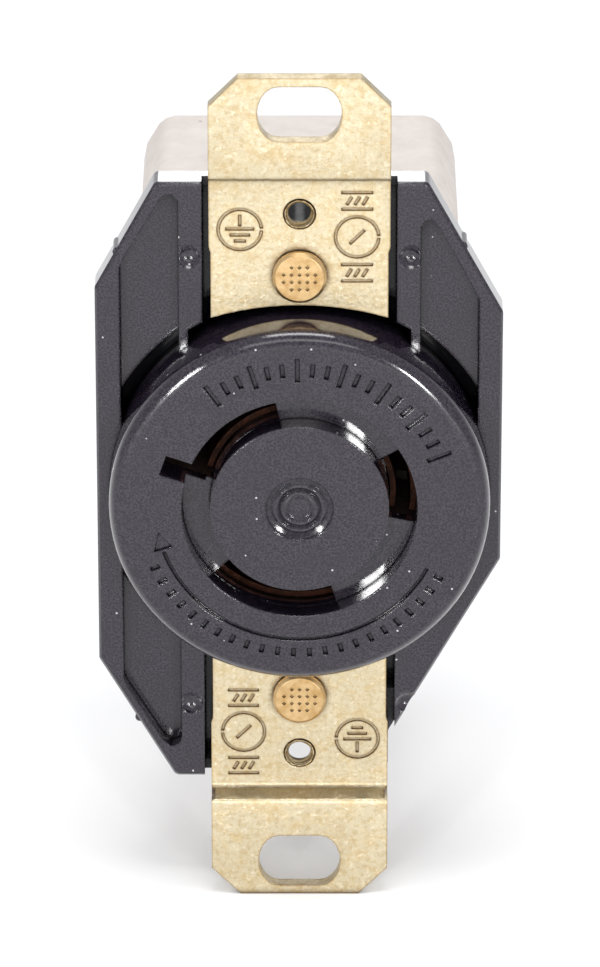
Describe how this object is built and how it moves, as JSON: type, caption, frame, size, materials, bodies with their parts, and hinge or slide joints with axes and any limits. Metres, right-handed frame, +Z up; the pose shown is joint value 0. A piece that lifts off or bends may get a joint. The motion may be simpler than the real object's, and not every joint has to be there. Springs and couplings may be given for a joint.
{
  "type": "flush-mount locking receptacle",
  "caption": "Flush-mount locking power receptacle: round black face with curved blade slots and a key slot, brass mounting straps, riveted beige body with screw wire clamps.",
  "frame": {"origin": "on the plug axis, in the plane of the front of the strap centre plates", "axes": "+Z up along the straps, +X to the right seen from the front, +Y back into the wall box"},
  "size_m": [0.0413, 0.0342, 0.091],
  "materials": {
    "black_nylon": "moulded, glossy",
    "beige_nylon": "moulded, satin",
    "brass": "rolled sheet, lightly mottled",
    "copper_rivet": "copper-plated, waffle-marked head",
    "contact_copper": "spring-temper copper alloy",
    "brown_thermoset": "moulded, matt",
    "spring_steel": "bright",
    "zinc_steel": "zinc-plated",
    "green_screw": "green-dyed plating",
    "grey_fibre": "pressed fibre sheet"
  },
  "bodies": {
    "receptacle": {"face_cover": "black_nylon", "upper_strap": "brass", "lower_strap": "brass", "upper_rivet": "copper_rivet", "lower_rivet": "copper_rivet", "upper_rivet_washer": "zinc_steel", "lower_rivet_washer": "zinc_steel", "contact_carrier": "brown_thermoset", "ground_contact": "contact_copper", "line_1_contact": "contact_copper", "line_2_contact": "contact_copper", "ground_spring_clip": "spring_steel", "line_1_spring_clip": "spring_steel", "line_2_spring_clip": "spring_steel", "insulating_sheet": "grey_fibre", "ground_bar": "brass", "back_body": "beige_nylon"},
    "ground_screw": {"ground_terminal_screw": "green_screw"},
    "ground_clamp": {"ground_clamp_plate": "zinc_steel"},
    "line_1_screw": {"line_1_terminal_screw": "brass"},
    "line_1_clamp": {"line_1_clamp_plate": "zinc_steel"},
    "line_2_screw": {"line_2_terminal_screw": "brass"},
    "line_2_clamp": {"line_2_clamp_plate": "zinc_steel"}
  },
  "joints": [
    {"name": "ground_screw_turn", "type": "hinge", "parent": "receptacle", "child": "ground_screw", "pos_m": [-0.0138, 0.02, 0.009], "axis": [1, 0, 0], "range_deg": [0, 1260]},
    {"name": "ground_clamp_slide", "type": "slide", "parent": "receptacle", "child": "ground_clamp", "axis": [-1, 0, 0], "range_m": [0, 0.00278]},
    {"name": "line_1_screw_turn", "type": "hinge", "parent": "receptacle", "child": "line_1_screw", "pos_m": [0.0138, 0.02, 0.008], "axis": [-1, 0, 0], "range_deg": [0, 1260]},
    {"name": "line_1_clamp_slide", "type": "slide", "parent": "receptacle", "child": "line_1_clamp", "axis": [1, 0, 0], "range_m": [0, 0.00278]},
    {"name": "line_2_screw_turn", "type": "hinge", "parent": "receptacle", "child": "line_2_screw", "pos_m": [-0.0138, 0.02, -0.009], "axis": [1, 0, 0], "range_deg": [0, 1260]},
    {"name": "line_2_clamp_slide", "type": "slide", "parent": "receptacle", "child": "line_2_clamp", "axis": [-1, 0, 0], "range_m": [0, 0.00278]}
  ],
  "couplings": [
    {"joint": "ground_screw_turn", "follows": "ground_clamp_slide", "rad_per_m": 7915.8},
    {"joint": "line_1_screw_turn", "follows": "line_1_clamp_slide", "rad_per_m": 7915.8},
    {"joint": "line_2_screw_turn", "follows": "line_2_clamp_slide", "rad_per_m": 7915.8}
  ]
}
